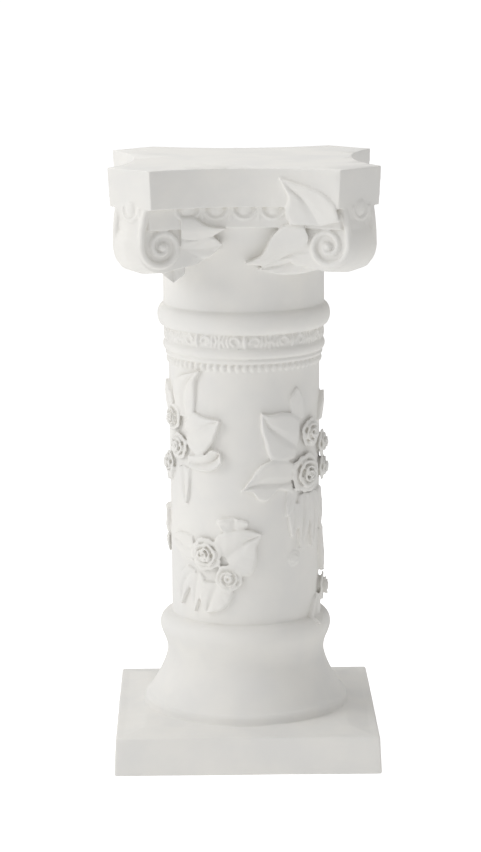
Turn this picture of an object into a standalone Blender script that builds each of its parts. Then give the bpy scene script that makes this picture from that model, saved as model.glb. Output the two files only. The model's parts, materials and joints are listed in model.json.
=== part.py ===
"""Column pedestal, cast in one piece: a square plinth, a turned column with sprays of roses, moulded
bands, and a capital with corner scrolls under a slab with hollow sides.

Metres, +Z up. The origin is the middle of the underside, and the front faces -Y. Directions round the
column are degrees from the front, positive towards +X. A lift is a height above the surface below it.
"""

from math import cos, hypot, pi, radians, sin, sqrt, tan

import bmesh
import bpy
from mathutils import Matrix, Vector

WIDTH = 0.310
HEIGHT = 0.700
HALF = WIDTH / 2

PLINTH_HEIGHT = 0.0445
PLINTH_TAPER = 0.002
PLINTH_CORNER = 0.004

SLAB_HEIGHT = 0.044
SLAB_TAPER = 0.0025
SLAB_CORNER_LEG = 0.0485
SLAB_HOLLOW = 0.028
SLAB_UNDERSIDE = HEIGHT - SLAB_HEIGHT
SLAB_REACH = HALF - SLAB_CORNER_LEG
SIDE_RADIUS = (SLAB_REACH**2 + SLAB_HOLLOW**2) / (2 * SLAB_HOLLOW)

# Heights and radii of the turned profile, from the foot up
FOOT_TOP = 0.0615
FOOT_RADIUS = 0.1170
FOOT_SWELL = 0.0045
GROOVE_TOP = 0.0655
GROOVE_RADIUS = 0.1140
WAIST_Z = 0.112
WAIST_RADIUS = 0.0935
RING_Z = 0.1455
RING_RADIUS = 0.1018
SHAFT_BOTTOM = 0.1607
SHAFT_FOOT_RADIUS = 0.0872
SHAFT_TOP = 0.4615
SHAFT_HEAD_RADIUS = 0.0890
BEADS_TOP = 0.4708
FILLET_TOP = 0.4772
FILLET_RADIUS = 0.0929
BAND_TOP = 0.4890
BAND_RADIUS = 0.0955
FRIEZE_TOP = 0.5055
FRIEZE_RADIUS = 0.0925
ASTRAGAL_TOP = 0.5310
ASTRAGAL_RADIUS = 0.0945
ASTRAGAL_SWELL = 0.0072
NECK_TOP = 0.5635
NECK_RADIUS = 0.0946
EGG_BAND_BOTTOM = 0.632
BELL_RADIUS = 0.1140
TURNED_SIDES = 28

EGG_BAND_INSET = 0.0105
EGG_SPACING = 0.032
EGGS_A_SIDE = 5
EGG_COLLAR = 0.0135
EGG_COLLAR_RIDGE = 0.0016
EGG_COLLAR_LIFT = 0.0018
EGG_DROP = 0.0078
EGG_RADIUS = 0.0044
EGG_LIFT = 0.0026

# Corner scrolls, measured along the diagonal (out) and up
SCROLL_OUT = 0.159
SCROLL_Z = 0.613
SCROLL_RADIUS = 0.030
SCROLL_CROWN = 0.003
SCROLL_HEAD_OUT = 0.1825
SCROLL_HEAD_BOTTOM = 0.642
SCROLL_WEB = ((0.118, 0.591), (0.090, 0.606), (0.060, 0.615))
SCROLL_HALF_WIDTH = 0.0312
SCROLL_NARROWING = radians(19)
SPIRAL_TURNS = 1.5
SPIRAL_START_RADIUS = 0.0275
SPIRAL_HALF_WIDTH = 0.0033
SPIRAL_LIFT = 0.0032
SPIRAL_SHRINK = 0.80
EYE_RADIUS = 0.0045

BEAD_COUNT = 66
BEAD_HALF_WIDTH = 0.0037
BEAD_LIFT = 0.0019

FRIEZE_UNITS = 10
FRIEZE_BUD = (0.0026, 0.0065)
FRIEZE_SCROLL_PLACE = 0.0115
FRIEZE_SCROLL_RADIUS = 0.0058
FRIEZE_RIDGE = 0.0016
FRIEZE_LIFT = 0.0023

PETAL_DEPTH = 0.10
SUNK = -0.0015
OVERLAP = 0.004
NICK = 0.0005
OFF_WHITE = (0.80, 0.78, 0.74, 1.0)


def clear_scene():
    for item in list(bpy.data.objects):
        bpy.data.objects.remove(item, do_unlink=True)


def plaster():
    """Matt off-white cast material."""
    material = bpy.data.materials.new("cast_plaster")
    material.use_nodes = True
    shader = material.node_tree.nodes["Principled BSDF"]
    shader.inputs["Base Color"].default_value = OFF_WHITE
    shader.inputs["Roughness"].default_value = 0.85
    return material


def as_object(name, form):
    """Make an object of a bmesh, with its faces turned outwards."""
    bmesh.ops.recalc_face_normals(form, faces=form.faces)
    mesh = bpy.data.meshes.new(name)
    form.to_mesh(mesh)
    form.free()
    item = bpy.data.objects.new(name, mesh)
    bpy.context.scene.collection.objects.link(item)
    return item


def lofted(name, shells):
    """One object of closed shells. A shell is a list of rings of points, skinned and capped.

    The last ring may be a single point, where the sides meet in a peak.
    """
    form = bmesh.new()
    for rings in shells:
        loops = [[form.verts.new(point) for point in ring] for ring in rings]
        for low, high in zip(loops, loops[1:]):
            for i in range(len(low)):
                above = high if len(high) == 1 else [high[i], high[i - 1]]
                form.faces.new([low[i - 1], low[i]] + above)
        form.faces.new(loops[0])
        if len(loops[-1]) > 1:
            form.faces.new(loops[-1])
    bmesh.ops.connect_verts_nonplanar(form, angle_limit=radians(0.1), faces=form.faces)
    return as_object(name, form)


def prism(name, outline, bottom, top, growth):
    """An outline extruded upwards, its top larger by the factor growth."""
    form = bmesh.new()
    base = form.faces.new([form.verts.new((x, y, bottom)) for x, y in outline])
    extruded = bmesh.ops.extrude_face_region(form, geom=[base])["geom"]
    raised = [part for part in extruded if isinstance(part, bmesh.types.BMVert)]
    bmesh.ops.translate(form, verts=raised, vec=(0, 0, top - bottom))
    bmesh.ops.scale(form, verts=raised, vec=(growth, growth, 1))
    return as_object(name, form)


# The turned column


def swelling(bottom, top, radius, swell, steps):
    """A rounded moulding between two heights."""
    middle, half = (bottom + top) / 2, (top - bottom) / 2
    angles = [pi * (i / steps - 0.5) for i in range(steps + 1)]
    return [(radius + swell * cos(a), middle + half * sin(a)) for a in angles]


def eased(start, end, steps, ease):
    """Points from start to end whose radius follows ease, a function from 0..1 to 0..1."""
    points = []
    for i in range(steps + 1):
        t = i / steps
        radius = start[0] + (end[0] - start[0]) * ease(t)
        points.append((radius, start[1] + (end[1] - start[1]) * t))
    return points


def turned_profile():
    """Radius and height from the foot up, with both ends on the axis."""
    foot = swelling(PLINTH_HEIGHT - OVERLAP, FOOT_TOP, FOOT_RADIUS, FOOT_SWELL, 4)
    waist = (WAIST_RADIUS, WAIST_Z)
    flare = eased((GROOVE_RADIUS, GROOVE_TOP), waist, 3, lambda t: 1 - (1 - t) ** 1.45)
    ring = eased(waist, (RING_RADIUS, RING_Z), 3, lambda t: (1 - cos(pi * t**1.25)) / 2)
    shoulder = []
    for i in range(1, 4):
        a = pi / 2 * i / 3
        radius = SHAFT_FOOT_RADIUS + (RING_RADIUS - SHAFT_FOOT_RADIUS) * cos(a)
        shoulder.append((radius, RING_Z + (SHAFT_BOTTOM - RING_Z) * sin(a)))
    fillet = swelling(BEADS_TOP, FILLET_TOP, SHAFT_HEAD_RADIUS, FILLET_RADIUS - SHAFT_HEAD_RADIUS, 3)
    band = swelling(FILLET_TOP + NICK, BAND_TOP, FRIEZE_RADIUS, BAND_RADIUS - FRIEZE_RADIUS, 3)
    frieze_head = [(FRIEZE_RADIUS, FRIEZE_TOP - NICK)]
    astragal = swelling(FRIEZE_TOP, ASTRAGAL_TOP, ASTRAGAL_RADIUS, ASTRAGAL_SWELL, 5)
    bell = eased((NECK_RADIUS, NECK_TOP), (BELL_RADIUS, EGG_BAND_BOTTOM), 3, lambda t: t**1.8)
    inside_plinth = [(0, PLINTH_HEIGHT / 2), (GROOVE_RADIUS, PLINTH_HEIGHT / 2)]
    head = SLAB_UNDERSIDE + 2 * OVERLAP
    inside_slab = [(BELL_RADIUS - OVERLAP, head), (0, head)]
    lower = inside_plinth + foot + flare + ring[1:] + shoulder
    return lower + fillet + band + frieze_head + astragal + bell + inside_slab


def turned_column():
    form = bmesh.new()
    verts = [form.verts.new((radius, 0, z)) for radius, z in turned_profile()]
    edges = [form.edges.new(pair) for pair in zip(verts, verts[1:])]
    origin, up = (0, 0, 0), (0, 0, 1)
    bmesh.ops.spin(form, geom=verts + edges, cent=origin, axis=up, angle=2 * pi, steps=TURNED_SIDES)
    bmesh.ops.remove_doubles(form, verts=form.verts, dist=0.00001)
    return as_object("column_pedestal", form)


# The square plinth, the slab with hollow sides and the egg band below it


def plinth_outline():
    half, cut = HALF, PLINTH_CORNER
    side = [(cut - half, -half), (half - cut, -half)]
    return around_square(side)


def side_depth(x, inset=0.0):
    """How far the slab's hollow front lies from the axis, at x from its middle."""
    return HALF - SLAB_HOLLOW - inset + SIDE_RADIUS - sqrt(SIDE_RADIUS**2 - x**2)


def slab_outline(inset, steps=6):
    xs = [SLAB_REACH * (2 * i / steps - 1) for i in range(steps + 1)]
    return around_square([(x, -side_depth(x, inset)) for x in xs])


def around_square(side):
    turned = [Matrix.Rotation(k * pi / 2, 2) for k in range(4)]
    return [tuple(turn @ Vector(point)) for turn in turned for point in side]


# Reliefs. A surface is a function of a place across, a height and a lift that returns a point.


def round_surface(radius):
    """A surface round the column. Its places are arc lengths from the front, at this radius."""

    def place(across, z, lift):
        a = across / radius
        return Vector(((radius + lift) * sin(a), -(radius + lift) * cos(a), z))

    return place


def hollow_surface(inset, side=0):
    """The egg band's or the slab's face on one side. Its places are distances from its middle."""
    turn = Matrix.Rotation(side * pi / 2, 3, "Z")

    def place(across, z, lift):
        return turn @ Vector((across, -side_depth(across, inset) - lift, z))

    return place


def ridge(surface, path, half_width, lift):
    """A raised line of triangular section along a path of places, as one shell."""
    rings = []
    for i, (x, z) in enumerate(path):
        before, after = path[max(i - 1, 0)], path[min(i + 1, len(path) - 1)]
        dx, dz = after[0] - before[0], after[1] - before[1]
        length = hypot(dx, dz)
        nx, nz = -dz / length * half_width, dx / length * half_width
        rings.append([surface(x + nx, z + nz, SUNK), surface(x, z, lift), surface(x - nx, z - nz, SUNK)])
    return rings


def knob(surface, x, z, half_width, half_height, lift, sides=4):
    """A low faceted knob with a peak, as one shell."""
    angles = [2 * pi * i / sides for i in range(sides)]
    across, up = (half * (1 - SUNK / lift) for half in (half_width, half_height))
    foot = [surface(x + across * cos(a), z + up * sin(a), SUNK) for a in angles]
    return [foot, [surface(x, z, lift)]]


def arc_path(x, z, radius, start, end, steps, shrink=0.0):
    """Places along an arc in degrees, its radius falling by the share shrink on the way."""
    path = []
    for i in range(steps + 1):
        a = radians(start + (end - start) * i / steps)
        r = radius * (1 - shrink * i / steps)
        path.append((x + r * cos(a), z + r * sin(a)))
    return path


def beads():
    """The row of upright oval beads at the head of the shaft."""
    middle, half = (SHAFT_TOP + BEADS_TOP) / 2, (BEADS_TOP - SHAFT_TOP) / 2
    surface = round_surface(SHAFT_HEAD_RADIUS)
    pitch = 2 * pi * SHAFT_HEAD_RADIUS / BEAD_COUNT
    shells = []
    for i in range(BEAD_COUNT):
        x = i * pitch
        shells.append(knob(surface, x, middle, BEAD_HALF_WIDTH, half, BEAD_LIFT))
    return lofted("beads", shells)


def frieze():
    """A bud between two facing scrolls, repeated round the column."""
    surface = round_surface(FRIEZE_RADIUS)
    middle = (BAND_TOP + FRIEZE_TOP) / 2
    pitch = 2 * pi * FRIEZE_RADIUS / FRIEZE_UNITS
    shells = []
    for i in range(FRIEZE_UNITS):
        x = i * pitch
        shells.append(knob(surface, x, middle, *FRIEZE_BUD, FRIEZE_LIFT))
        for side in (-1, 1):
            scroll = arc_path(FRIEZE_SCROLL_PLACE, middle, FRIEZE_SCROLL_RADIUS, 185, -55, 3, shrink=0.30)
            path = [(x + side * across, z) for across, z in scroll]
            shells.append(ridge(surface, path, FRIEZE_RIDGE, FRIEZE_LIFT))
    return lofted("frieze_scrolls", shells)


def egg(surface, x):
    """An egg in its collar, hanging from the slab's underside."""
    collar = arc_path(x, SLAB_UNDERSIDE - NICK, EGG_COLLAR, 180, 360, 3)
    return [
        ridge(surface, collar, EGG_COLLAR_RIDGE, EGG_COLLAR_LIFT),
        knob(surface, x, SLAB_UNDERSIDE - EGG_DROP, EGG_RADIUS, EGG_RADIUS, EGG_LIFT),
    ]


def scroll_face(corner, out, across_sign):
    """The front or flank of a corner scroll as a surface, its places measured from the spiral's eye."""
    outward = Vector((-sin(pi / 4), -cos(pi / 4), 0))
    sideways = Vector((cos(pi / 4), -sin(pi / 4), 0)) * across_sign
    turn = Matrix.Rotation(corner * pi / 2, 3, "Z")
    along = outward * cos(SCROLL_NARROWING) - sideways * sin(SCROLL_NARROWING)
    normal = outward * sin(SCROLL_NARROWING) + sideways * cos(SCROLL_NARROWING)
    eye = outward * out + sideways * scroll_half_width(out)

    def place(across, z, lift):
        point = eye + along * across + normal * lift
        return turn @ Vector((point.x, point.y, z))

    return place


def scroll_half_width(out):
    return SCROLL_HALF_WIDTH + (SCROLL_OUT - out) * tan(SCROLL_NARROWING)


def scroll_block(corner):
    """One corner's roll, wider towards the column, with the web that ties it to the bell."""
    outward = Vector((-sin(pi / 4), -cos(pi / 4), 0))
    sideways = Vector((cos(pi / 4), -sin(pi / 4), 0))
    turn = Matrix.Rotation(corner * pi / 2, 3, "Z")
    rings = []
    for share, crown in ((-1, 0), (0, SCROLL_CROWN), (1, 0)):
        roll = arc_path(SCROLL_OUT, SCROLL_Z, SCROLL_RADIUS + crown, 35, -110, 6)
        top = SLAB_UNDERSIDE + OVERLAP
        head = [(SCROLL_WEB[-1][0], top), (SCROLL_HEAD_OUT, top), (SCROLL_HEAD_OUT, SCROLL_HEAD_BOTTOM)]
        ring = []
        for out, z in head + roll + list(SCROLL_WEB):
            point = outward * out + sideways * share * scroll_half_width(out)
            ring.append(turn @ Vector((point.x, point.y, z)))
        rings.append(ring)
    return lofted(f"scroll_block_{corner}", [rings])


def spiral_path():
    """Down from the slab, round the outer rim and in to the eye."""
    steps = 11
    path = [(0.0205, SLAB_UNDERSIDE + 0.002), (0.0262, EGG_BAND_BOTTOM)]
    for i in range(steps + 1):
        turned = i / steps
        a = -2 * pi * SPIRAL_TURNS * turned
        r = SPIRAL_START_RADIUS * (1 - SPIRAL_SHRINK * turned**1.3)
        path.append((r * cos(a), SCROLL_Z + r * sin(a)))
    return path


def scroll_spirals(corner):
    shells = []
    for across_sign in (-1, 1):
        face = scroll_face(corner, SCROLL_OUT + 0.002, across_sign)
        shells.append(ridge(face, spiral_path(), SPIRAL_HALF_WIDTH, SPIRAL_LIFT))
        shells.append(knob(face, 0.0, SCROLL_Z, EYE_RADIUS, EYE_RADIUS, SPIRAL_LIFT, sides=5))
    return lofted(f"scroll_spirals_{corner}", shells)


# Leaves and roses


def leaf(name, surface, base, tip, half_width, lift=0.0045, bow=0.0, tip_lift=0.0):
    """A pointed leaf with a sunk midrib, from base to tip, both places on the surface."""
    dx, dz = tip[0] - base[0], tip[1] - base[1]
    length = hypot(dx, dz)
    nx, nz = -dz / length, dx / length
    rings = []
    for t, width in ((0.0, 0.35), (0.30, 1.0), (0.72, 0.72)):
        bend = bow * sin(pi * t)
        x, z = base[0] + dx * t + nx * bend, base[1] + dz * t + nz * bend
        w = half_width * width
        raise_by = lift + tip_lift * t
        section = ((-1.05, SUNK), (-0.7, raise_by), (0, 0.5 * raise_by), (0.7, raise_by), (1.05, SUNK))
        rings.append([surface(x + nx * w * v, z + nz * w * v, height) for v, height in section])
    point = surface(tip[0], tip[1], 0.4 * (lift + tip_lift))
    return lofted(name, [rings + [[point]]])


def rose(name, surface, x, z, radius, lift, petals):
    """An open rose: a ring of outer petals, a furrow and a wound bud."""
    sides = 2 * petals
    rings = []
    for scale, level in ((1.05, SUNK), (0.84, 0.70), (0.46, 0.55)):
        height = SUNK if level == SUNK else level * lift
        ring = []
        for i in range(sides):
            a = 2 * pi * i / sides
            r = radius * scale * (1 + PETAL_DEPTH * cos(petals * a))
            ring.append(surface(x + r * cos(a), z + r * sin(a), height))
        rings.append(ring)
    return lofted(name, [rings + [[surface(x, z, lift)]]])


# Sprays on the shaft: leaves as base, tip and half width, roses as middle, radius and lift.
# Places are degrees round from the front and heights.

UPPER_LEFT_LEAVES = (
    ((-47, 0.405), (-34, 0.463), 0.016),
    ((-68, 0.405), (-80, 0.440), 0.009),
    ((-45, 0.376), (-19, 0.405), 0.014),
    ((-42, 0.355), (-16, 0.359), 0.011),
    ((-54, 0.352), (-51, 0.302), 0.009),
)
UPPER_LEFT_ROSES = (
    ((-64, 0.403), 0.0155, 0.010),
    ((-55, 0.372), 0.0135, 0.009),
    ((-77, 0.351), 0.0135, 0.010),
)

CENTRE_RIGHT_LEAVES = (
    ((39, 0.400), (41, 0.432), 0.009),
    ((43, 0.368), (11, 0.412), 0.021),
    ((36, 0.336), (-3, 0.323), 0.020),
    ((41, 0.315), (39, 0.262), 0.010),
    ((52, 0.315), (51, 0.250), 0.011),
    ((68, 0.320), (70, 0.262), 0.010),
)
CENTRE_RIGHT_ROSES = (((54, 0.384), 0.0180, 0.010), ((50, 0.340), 0.0240, 0.012))

LOWER_LEFT_LEAVES = (
    ((-9, 0.270), (-8, 0.289), 0.011),
    ((-18, 0.240), (10, 0.268), 0.021),
    ((-24, 0.212), (-33, 0.179), 0.012),
    ((-18, 0.210), (-11, 0.188), 0.010),
    ((-38, 0.226), (-50, 0.186), 0.011),
    ((-44, 0.248), (-67, 0.258), 0.010),
)
LOWER_LEFT_ROSES = (((-28, 0.247), 0.0205, 0.010), ((-13, 0.221), 0.0155, 0.008))

GARLAND_LEAVES = (((80, 0.268), (82, 0.212), 0.008),)
GARLAND_LEAF_OVER_RING = ((74, 0.198), (56, 0.153), 0.012)
GARLAND_ROSES = (((87, 0.189), 0.0165, 0.013),)

# Plainer sprays on the sides and back that the front view hides: turn, rise, mirrored
HIDDEN_SPRAYS = ((-118, 0.020, 1), (158, 0.135, -1), (132, -0.010, -1))
HIDDEN_LEAVES = (
    ((10, 0.240), (38, 0.266), 0.020),
    ((2, 0.214), (-8, 0.182), 0.012),
    ((-4, 0.250), (-24, 0.272), 0.014),
)
HIDDEN_ROSES = (((0, 0.245), 0.0195, 0.010), ((14, 0.222), 0.0150, 0.008))


def spray(name, leaves, roses, petals=5, turn=0, rise=0.0, mirror=1):
    """The leaves and roses of one spray, on the shaft."""
    radius = (SHAFT_FOOT_RADIUS + SHAFT_HEAD_RADIUS) / 2
    surface = round_surface(radius)

    def place(direction, z):
        return radians(turn + mirror * direction) * radius, z + rise

    pieces = []
    for i, (base, tip, half_width) in enumerate(leaves):
        pieces.append(leaf(f"{name}_leaf_{i}", surface, place(*base), place(*tip), half_width))
    for i, (middle, size, lift) in enumerate(roses):
        pieces.append(rose(f"{name}_rose_{i}", surface, *place(*middle), size, lift, petals))
    return pieces


def shaft_sprays():
    pieces = spray("upper_left", UPPER_LEFT_LEAVES, UPPER_LEFT_ROSES)
    pieces += spray("centre_right", CENTRE_RIGHT_LEAVES, CENTRE_RIGHT_ROSES)
    pieces += spray("lower_left", LOWER_LEFT_LEAVES, LOWER_LEFT_ROSES)
    pieces += spray("garland", GARLAND_LEAVES, GARLAND_ROSES)
    for i, (turn, rise, mirror) in enumerate(HIDDEN_SPRAYS):
        pieces += spray(f"hidden_{i}", HIDDEN_LEAVES, HIDDEN_ROSES, 3, turn, rise, mirror)
    base, tip, half_width = GARLAND_LEAF_OVER_RING
    surface = round_surface(SHAFT_FOOT_RADIUS)
    ends = [(radians(direction) * SHAFT_FOOT_RADIUS, z) for direction, z in (base, tip)]
    pieces.append(leaf("leaf_over_ring", surface, *ends, half_width, lift=0.005, tip_lift=0.011))
    return pieces


def capital_leaves():
    """Leaves beside the front scrolls, and plainer ones beside the rear scrolls."""
    front = hollow_surface(EGG_BAND_INSET + OVERLAP)
    bell = round_surface(0.104)
    slab = hollow_surface(SLAB_TAPER)
    pieces = [
        leaf("left_upper_leaf", front, (-0.070, 0.630), (-0.020, 0.632), 0.013, lift=0.005, bow=-0.003),
        leaf("left_lower_leaf", bell, (-0.066, 0.618), (-0.024, 0.602), 0.013, lift=0.008),
        leaf("left_hanging_lobe", bell, (-0.096, 0.606), (-0.090, 0.576), 0.010, lift=0.016),
        leaf("right_upper_leaf", slab, (0.084, 0.644), (0.039, 0.687), 0.024, lift=0.006),
        leaf("right_lower_leaf", bell, (0.070, 0.626), (0.002, 0.590), 0.019, lift=0.010),
        leaf("right_ruffled_leaf", bell, (0.075, 0.606), (0.040, 0.580), 0.012, lift=0.009),
    ]
    rear = hollow_surface(EGG_BAND_INSET + OVERLAP, side=2)
    for side in (-1, 1):
        ends = (side * 0.070, 0.630), (side * 0.022, 0.618)
        pieces.append(leaf(f"rear_leaf_{side}", rear, *ends, 0.014, lift=0.005))
    return pieces


def egg_band():
    """Eggs along the four hollow sides and one on each cut corner."""
    shells = []
    for side in range(4):
        surface = hollow_surface(EGG_BAND_INSET, side)
        for i in range(EGGS_A_SIDE):
            shells += egg(surface, EGG_SPACING * (i - (EGGS_A_SIDE - 1) / 2))
        turn = Matrix.Rotation((side + 0.5) * pi / 2, 3, "Z")

        def corner(across, z, lift, turn=turn):
            return turn @ Vector((across, -SCROLL_HEAD_OUT - lift, z))

        shells += egg(corner, 0.0)
    return lofted("eggs", shells)


def cast_as_one(body, pieces):
    """Fuse every piece into the body with one exact union."""
    details = bpy.data.collections.new("cast_details")
    bpy.context.scene.collection.children.link(details)
    for piece in pieces:
        bpy.context.scene.collection.objects.unlink(piece)
        details.objects.link(piece)
        piece.hide_render = True
        piece.display_type = "WIRE"
    union = body.modifiers.new("cast as one", "BOOLEAN")
    union.operation = "UNION"
    union.solver = "EXACT"
    union.operand_type = "COLLECTION"
    union.collection = details


clear_scene()
pedestal = turned_column()
pedestal.data.materials.append(plaster())
plinth = prism("plinth", plinth_outline(), 0.0, PLINTH_HEIGHT, 1 - PLINTH_TAPER / HALF)
slab = prism("slab", slab_outline(SLAB_TAPER), SLAB_UNDERSIDE, HEIGHT, HALF / (HALF - SLAB_TAPER))
band_top = SLAB_UNDERSIDE + OVERLAP
band = prism("egg_band_ground", slab_outline(EGG_BAND_INSET), EGG_BAND_BOTTOM, band_top, 1.0)
reliefs = [beads(), frieze(), egg_band()] + capital_leaves() + shaft_sprays()
scrolls = [make(corner) for corner in range(4) for make in (scroll_block, scroll_spirals)]
cast_as_one(pedestal, [plinth, slab, band] + scrolls + reliefs)
pedestal.data.shade_smooth()
pedestal.data.set_sharp_from_angle(angle=radians(35))
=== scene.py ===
# %% [markdown]
# # A cast column pedestal
#
# The real pedestal comes out of one mould: plinth, column, capital and all its roses are a single
# casting, wiped with a thin olive-beige wash that stays in the hollows. In Blender such a casting can be
# modelled as many simple pieces that overlap, each one easy to shape, and then be fused by a voxel
# remesh. The remesh also gives every join the small soft fillet that a mould gives. So this lesson
# models the plain body first, then the ornament piece by piece, then casts everything as one.

# %% Load the frame
import json
from math import cos, exp, hypot, pi, radians, sin, sqrt, tan

import bpy
import numpy as np
from mathutils import Matrix, Vector, noise

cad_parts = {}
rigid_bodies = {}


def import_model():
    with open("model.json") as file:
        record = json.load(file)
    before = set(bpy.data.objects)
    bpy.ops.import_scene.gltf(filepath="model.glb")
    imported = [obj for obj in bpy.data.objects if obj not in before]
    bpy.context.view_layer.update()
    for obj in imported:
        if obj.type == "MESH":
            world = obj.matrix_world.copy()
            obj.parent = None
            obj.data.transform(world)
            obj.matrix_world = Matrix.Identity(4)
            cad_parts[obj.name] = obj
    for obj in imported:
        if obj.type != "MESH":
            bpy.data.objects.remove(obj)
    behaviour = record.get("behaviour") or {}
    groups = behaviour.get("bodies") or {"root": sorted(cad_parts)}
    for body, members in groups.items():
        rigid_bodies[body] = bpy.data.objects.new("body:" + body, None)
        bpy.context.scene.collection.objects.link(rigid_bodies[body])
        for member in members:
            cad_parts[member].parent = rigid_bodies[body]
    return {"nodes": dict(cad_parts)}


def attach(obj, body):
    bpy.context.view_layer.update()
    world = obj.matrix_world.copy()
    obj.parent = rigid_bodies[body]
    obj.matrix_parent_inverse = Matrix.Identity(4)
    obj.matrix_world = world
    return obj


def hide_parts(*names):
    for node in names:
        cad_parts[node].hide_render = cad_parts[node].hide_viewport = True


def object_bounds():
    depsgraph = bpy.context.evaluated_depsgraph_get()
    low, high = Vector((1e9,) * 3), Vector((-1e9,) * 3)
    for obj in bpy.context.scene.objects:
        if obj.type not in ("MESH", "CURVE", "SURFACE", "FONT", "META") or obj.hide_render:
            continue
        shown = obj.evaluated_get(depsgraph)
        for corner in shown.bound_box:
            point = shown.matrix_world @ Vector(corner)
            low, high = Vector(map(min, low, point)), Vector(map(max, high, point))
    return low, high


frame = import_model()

cad_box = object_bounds()
print("frame nodes:", list(frame["nodes"]))
print("frame box:", [tuple(round(v, 4) for v in corner) for corner in cad_box])

# %% [markdown]
# ## The sizes
#
# The sizes are those of the solid that the frame carries, in metres, +Z up, with the front facing -Y.
# They are named once here. The fine ornament takes its place from them, so it always sits on the body.

# %% Sizes of the body
MM = 0.001
HALF, HEIGHT = 0.155, 0.700
PLINTH_TOP, PLINTH_TAPER = 0.0445, 0.002
SLAB_BOTTOM, SLAB_TAPER = 0.656, 0.0025
SLAB_HOLLOW, SLAB_REACH = 0.028, 0.1065
SIDE_RADIUS = (SLAB_REACH**2 + SLAB_HOLLOW**2) / (2 * SLAB_HOLLOW)
FOOT_TOP, FOOT_RADIUS, FOOT_SWELL = 0.0615, 0.1170, 0.0045
GROOVE_TOP, GROOVE_RADIUS = 0.0655, 0.1140
WAIST_Z, WAIST_RADIUS = 0.112, 0.0935
RING_Z, RING_RADIUS = 0.1455, 0.1018
SHAFT_BOTTOM, SHAFT_FOOT_RADIUS = 0.1607, 0.0872
SHAFT_TOP, SHAFT_HEAD_RADIUS = 0.4615, 0.0890
BEADS_TOP = 0.4708
FILLET_TOP, FILLET_RADIUS = 0.4772, 0.0929
BAND_TOP, BAND_RADIUS = 0.4890, 0.0955
FRIEZE_TOP, FRIEZE_RADIUS = 0.5055, 0.0925
ASTRAGAL_TOP, ASTRAGAL_RADIUS, ASTRAGAL_SWELL = 0.5310, 0.0945, 0.0072
NECK_TOP, NECK_RADIUS = 0.5635, 0.0946
EGG_BAND_BOTTOM, EGG_BAND_INSET = 0.632, 0.0105
BELL_RADIUS = 0.1140
SHAFT_RADIUS = (SHAFT_FOOT_RADIUS + SHAFT_HEAD_RADIUS) / 2
casting_pieces = []
print("hollow side radius:", round(SIDE_RADIUS, 4))

# %% [markdown]
# ## The camera
#
# The photograph was taken with a long lens from a little above the top slab, looking down by about
# eleven degrees. A long lens from far away keeps the column's sides almost parallel.

# %% Camera
CAMERA_PLACE = (-0.0471, -3.3723, 1.0207)
CAMERA_DOWN, CAMERA_TURN, CAMERA_ROLL = 10.722, -0.7225, -0.34
CAMERA_LENS = 122.44

bpy.ops.object.select_all(action="DESELECT")
bpy.ops.object.camera_add(location=CAMERA_PLACE)
camera = bpy.context.object
looking = Matrix.Rotation(radians(CAMERA_TURN), 3, "Z") @ Matrix.Rotation(radians(90 - CAMERA_DOWN), 3, "X")
camera.rotation_euler = (looking @ Matrix.Rotation(radians(CAMERA_ROLL), 3, "Z")).to_euler()
camera.data.lens = CAMERA_LENS
camera.data.sensor_width = 36
bpy.context.scene.camera = camera
print("camera at", CAMERA_PLACE, "with a", CAMERA_LENS, "mm lens")

# %% [markdown]
# ## The turned column
#
# On the real pedestal the foot, the waist, the ring, the shaft and the bands are all round, as if they
# were turned on a lathe. A turned form is easiest as a profile that is spun round the axis: one vertex
# is extruded from point to point up the profile, and Spin sweeps the line through a full circle.

# %% Helpers to start a piece and to edit it
def new_piece(name):
    """Name the primitive that was just added, and put its place into its mesh."""
    piece = bpy.context.object
    piece.name = piece.data.name = name
    bpy.ops.object.transform_apply(location=True, rotation=True, scale=True)
    return piece


def select_only(*pieces):
    bpy.ops.object.select_all(action="DESELECT")
    for piece in pieces:
        piece.select_set(True)
    bpy.context.view_layer.objects.active = pieces[0]


def edit(piece):
    """Open one piece in edit mode with everything selected."""
    select_only(piece)
    bpy.ops.object.mode_set(mode="EDIT")
    bpy.ops.mesh.select_all(action="SELECT")


def select_where(piece, test):
    """Select the vertices whose place passes the test, in edit mode."""
    bpy.ops.mesh.select_all(action="DESELECT")
    bpy.ops.object.mode_set(mode="OBJECT")
    for vertex in piece.data.vertices:
        vertex.select = test(vertex.co)
    bpy.ops.object.mode_set(mode="EDIT")
    bpy.ops.mesh.select_mode(type="VERT")


def finished():
    bpy.ops.object.mode_set(mode="OBJECT")


def applied(piece, kind, **settings):
    """Add a modifier with these settings and apply it at once."""
    select_only(piece)
    modifier = piece.modifiers.new(kind.lower(), kind)
    for name, value in settings.items():
        setattr(modifier, name, value)
    bpy.ops.object.modifier_apply(modifier=modifier.name)
    return piece


# %% The turned profile
def swelling(bottom, top, radius, swell, steps=10):
    """A rounded moulding between two heights."""
    middle, half = (bottom + top) / 2, (top - bottom) / 2
    angles = [pi * (i / steps - 0.5) for i in range(steps + 1)]
    return [(radius + swell * cos(a), middle + half * sin(a)) for a in angles]


def eased(start, end, ease, steps=14):
    """From start to end, the radius following ease, a function from 0..1 to 0..1."""
    shares = [i / steps for i in range(steps + 1)]
    return [(start[0] + (end[0] - start[0]) * ease(t), start[1] + (end[1] - start[1]) * t) for t in shares]


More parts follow.
